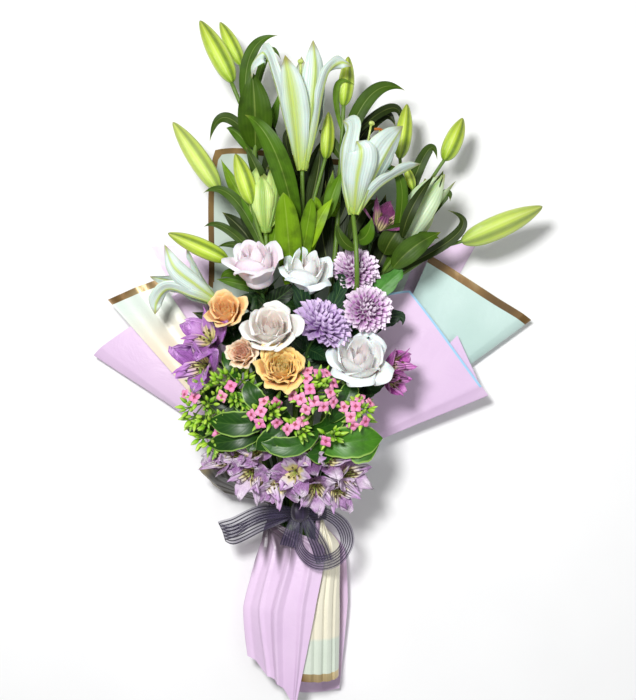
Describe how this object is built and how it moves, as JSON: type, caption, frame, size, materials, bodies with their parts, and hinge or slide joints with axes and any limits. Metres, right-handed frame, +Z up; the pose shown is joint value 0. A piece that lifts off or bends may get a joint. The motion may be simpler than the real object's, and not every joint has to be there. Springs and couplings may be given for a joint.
{
  "type": "wrapped flower bouquet",
  "caption": "Mixed hand-tied bouquet of lilies, roses, chrysanthemums, alstroemerias and kalanchoe, wrapped in pink and mint paper with a sheer bow, lying on its back.",
  "frame": {"origin": "bottom centre of the whole bouquet's box as it lies on its back, on the resting plane under the back sheet of paper", "axes": "+Z up, towards the flowers' faces; +Y from the paper handle to the lily tips; +X to the right as the flowers are looked at"},
  "size_m": [0.5132, 0.771, 0.1921],
  "materials": {
    "tie": "satin band",
    "pink_paper": "matte coated wrap",
    "mint_paper": "matte coated wrap",
    "cream_paper": "matte coated wrap",
    "ribbon": "sheer organza with satin stripes",
    "lily_petal": "satin petal",
    "blush_petal": "matte petal",
    "orange_petal": "matte petal",
    "lilac_petal": "matte petal",
    "lily_green": "satin leaf",
    "rose_green": "matte stem and leaf",
    "mum_green": "matte stem and leaf",
    "purple_petal": "matte petal",
    "lavender_petal": "matte petal",
    "kalanchoe_green": "satin leaf"
  },
  "bodies": {
    "root": {"tie_band": "tie", "paper_back_pink": "pink_paper", "paper_left_pink": "pink_paper", "paper_right_mint": "mint_paper", "paper_top_mint": "mint_paper", "paper_right_pink": "pink_paper", "paper_left_cream": "cream_paper", "paper_collar_cream": "cream_paper", "ribbon_bow": "ribbon", "lily_flower_centre": "lily_petal", "lily_flower_right": "lily_petal", "lily_flower_left": "lily_petal", "lily_flower_far_right": "lily_petal", "lily_flower_small": "lily_petal", "rose_pink_upper": "blush_petal", "rose_pink_back": "blush_petal", "rose_white_centre": "blush_petal", "rose_white_right": "blush_petal", "rose_orange_left": "orange_petal", "rose_orange_centre": "orange_petal", "rose_peach": "orange_petal", "mum_upper": "lilac_petal", "mum_centre": "lilac_petal", "mum_right": "lilac_petal", "lily_stem_left_top": "lily_green", "lily_stem_centre": "lily_green", "lily_stem_right_top": "lily_green", "lily_stem_right_flower": "lily_green", "lily_stem_far_right": "lily_green", "lily_stem_left": "lily_green", "rose_pink_upper_stem": "rose_green", "rose_pink_back_stem": "rose_green", "rose_white_centre_stem": "rose_green", "rose_white_right_stem": "rose_green", "rose_orange_left_stem": "rose_green", "rose_orange_centre_stem": "rose_green", "mum_stem": "mum_green", "alstroemeria_left": "purple_petal", "alstroemeria_right": "purple_petal", "alstroemeria_top": "purple_petal", "alstroemeria_low_left": "lavender_petal", "alstroemeria_low_right": "lavender_petal", "kalanchoe_left": "kalanchoe_green", "kalanchoe_centre_left": "kalanchoe_green", "kalanchoe_centre": "kalanchoe_green", "kalanchoe_right": "kalanchoe_green"}
  },
  "joints": []
}
